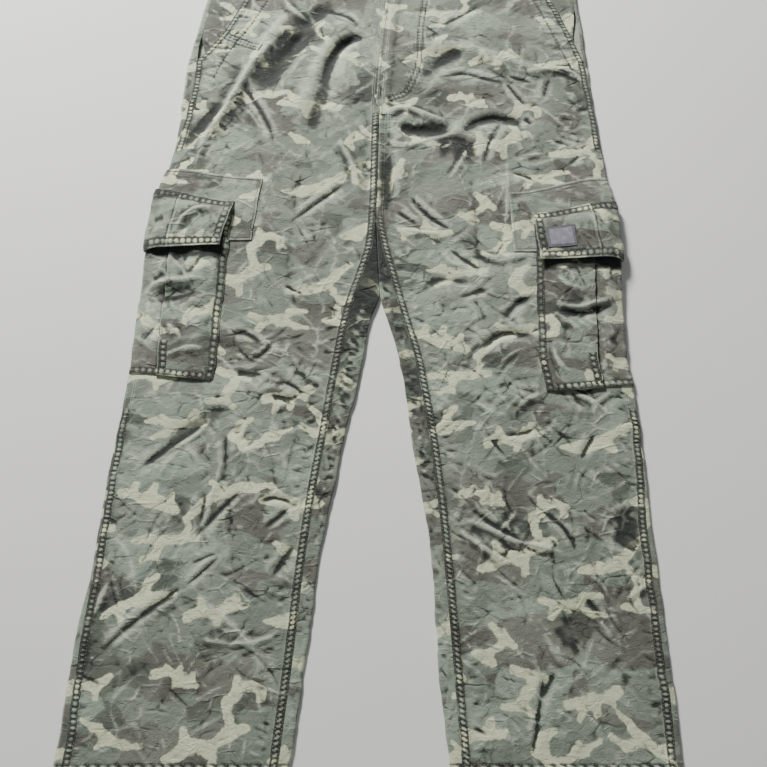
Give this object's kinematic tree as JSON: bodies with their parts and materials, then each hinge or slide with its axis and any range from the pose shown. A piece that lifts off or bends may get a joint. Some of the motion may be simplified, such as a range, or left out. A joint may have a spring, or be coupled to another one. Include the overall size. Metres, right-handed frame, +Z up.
{
  "type": "cargo pants",
  "caption": "Camouflage cotton cargo pants laid out flat, front up, with slant pockets, flapped cargo pockets on the thighs and a buttoned waistband.",
  "frame": {"origin": "middle of the outline, on the surface that the garment lies on", "axes": "+Y towards the waist along the legs, +Z up out of the front, +X to the right of someone looking down at the front"},
  "size_m": [0.643, 1.05, 0.0245],
  "materials": {
    "twill": "washed cotton twill with a faded printed camouflage",
    "woven_tag": "plain woven tag",
    "button": "aged metal"
  },
  "bodies": {
    "root": {"front_left": "twill", "front_right": "twill", "back_left": "twill", "back_right": "twill", "patch_left": "twill", "patch_right": "twill", "cargo_pocket_left": "twill", "cargo_pocket_right": "twill", "cargo_flap_left": "twill", "cargo_flap_right": "twill", "pocket_facing_left": "twill", "pocket_facing_right": "twill", "waistband": "twill", "flap_tag": "woven_tag", "waist_button": "button"}
  },
  "joints": []
}
